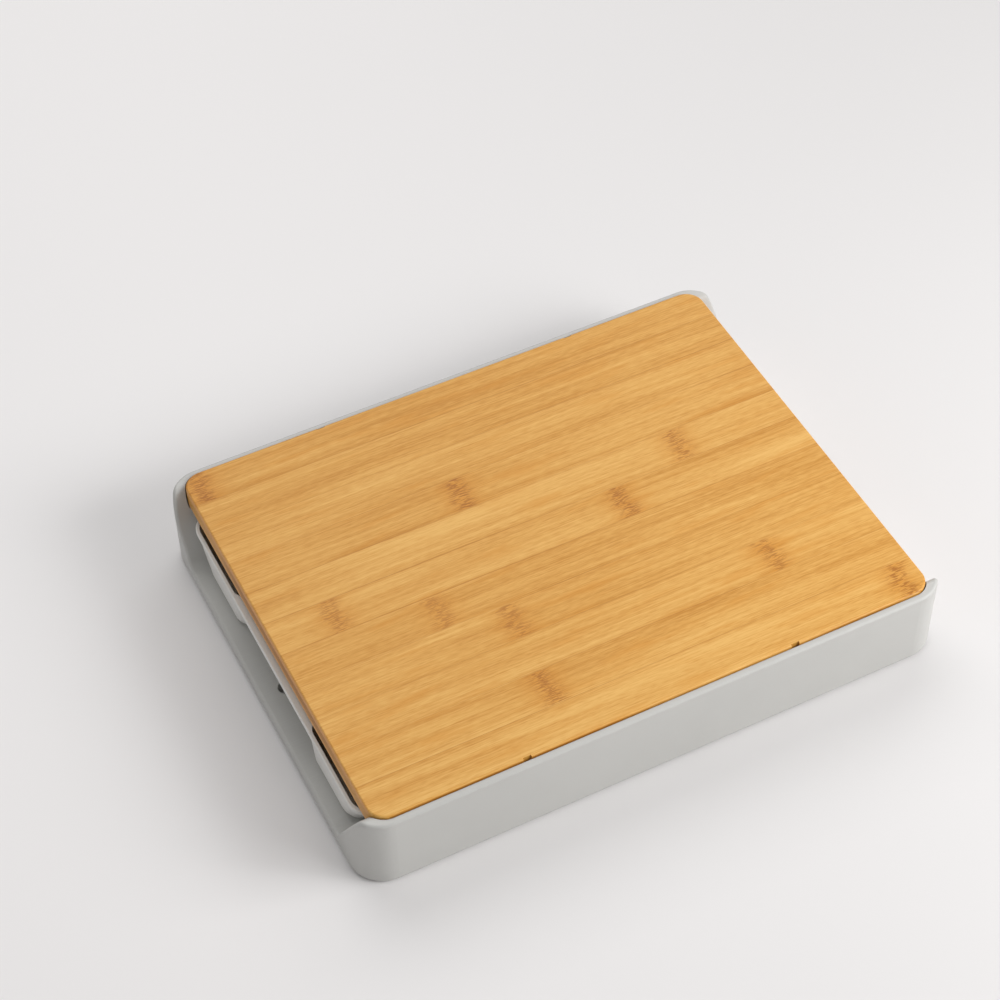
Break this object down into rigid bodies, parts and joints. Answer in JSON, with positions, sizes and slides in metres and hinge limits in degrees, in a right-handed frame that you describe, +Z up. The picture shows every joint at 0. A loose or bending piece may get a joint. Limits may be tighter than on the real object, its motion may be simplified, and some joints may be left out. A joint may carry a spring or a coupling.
{
  "type": "cutting board with drawer trays",
  "caption": "Laminated bamboo cutting board on a moulded plastic housing open at both ends, with a drawer tray sliding out of each end.",
  "frame": {"origin": "on the table under the middle of the board", "axes": "+X along the board's length towards the right tray, +Y across it towards the back, +Z up"},
  "size_m": [0.34, 0.2586, 0.0511],
  "materials": {
    "housing_plastic": "satin moulded, light grey",
    "tray_plastic": "satin moulded, pale grey",
    "bamboo": "planed and oiled bamboo",
    "foot_rubber": "matt rubber"
  },
  "bodies": {
    "housing": {"housing": "housing_plastic", "foot_back_left": "foot_rubber", "foot_back_right": "foot_rubber", "foot_front_left": "foot_rubber", "foot_front_right": "foot_rubber"},
    "board": {"board_face_strip_01": "bamboo", "board_face_strip_02": "bamboo", "board_face_strip_03": "bamboo", "board_face_strip_04": "bamboo", "board_face_strip_05": "bamboo", "board_face_strip_06": "bamboo", "board_face_strip_07": "bamboo", "board_face_strip_08": "bamboo", "board_face_strip_09": "bamboo", "board_face_strip_10": "bamboo", "board_face_strip_11": "bamboo", "board_face_strip_12": "bamboo", "board_core_strip_01": "bamboo", "board_core_strip_02": "bamboo", "board_core_strip_03": "bamboo", "board_core_strip_04": "bamboo", "board_core_strip_05": "bamboo", "board_core_strip_06": "bamboo", "board_core_strip_07": "bamboo", "board_core_strip_08": "bamboo", "board_core_strip_09": "bamboo", "board_core_strip_10": "bamboo", "board_core_strip_11": "bamboo", "board_core_strip_12": "bamboo", "board_back_strip_01": "bamboo", "board_back_strip_02": "bamboo", "board_back_strip_03": "bamboo", "board_back_strip_04": "bamboo", "board_back_strip_05": "bamboo", "board_back_strip_06": "bamboo", "board_back_strip_07": "bamboo", "board_back_strip_08": "bamboo", "board_back_strip_09": "bamboo", "board_back_strip_10": "bamboo", "board_back_strip_11": "bamboo", "board_back_strip_12": "bamboo"},
    "tray_left": {"tray_left": "tray_plastic"},
    "tray_right": {"tray_right": "tray_plastic"}
  },
  "joints": [
    {"name": "board_lift", "type": "slide", "parent": "housing", "child": "board", "axis": [0, 0, 1], "range_m": [0, 0.06]},
    {"name": "tray_left_slide", "type": "slide", "parent": "housing", "child": "tray_left", "axis": [-1, 0, 0], "range_m": [0, 0.11]},
    {"name": "tray_right_slide", "type": "slide", "parent": "housing", "child": "tray_right", "axis": [1, 0, 0], "range_m": [0, 0.11]}
  ]
}
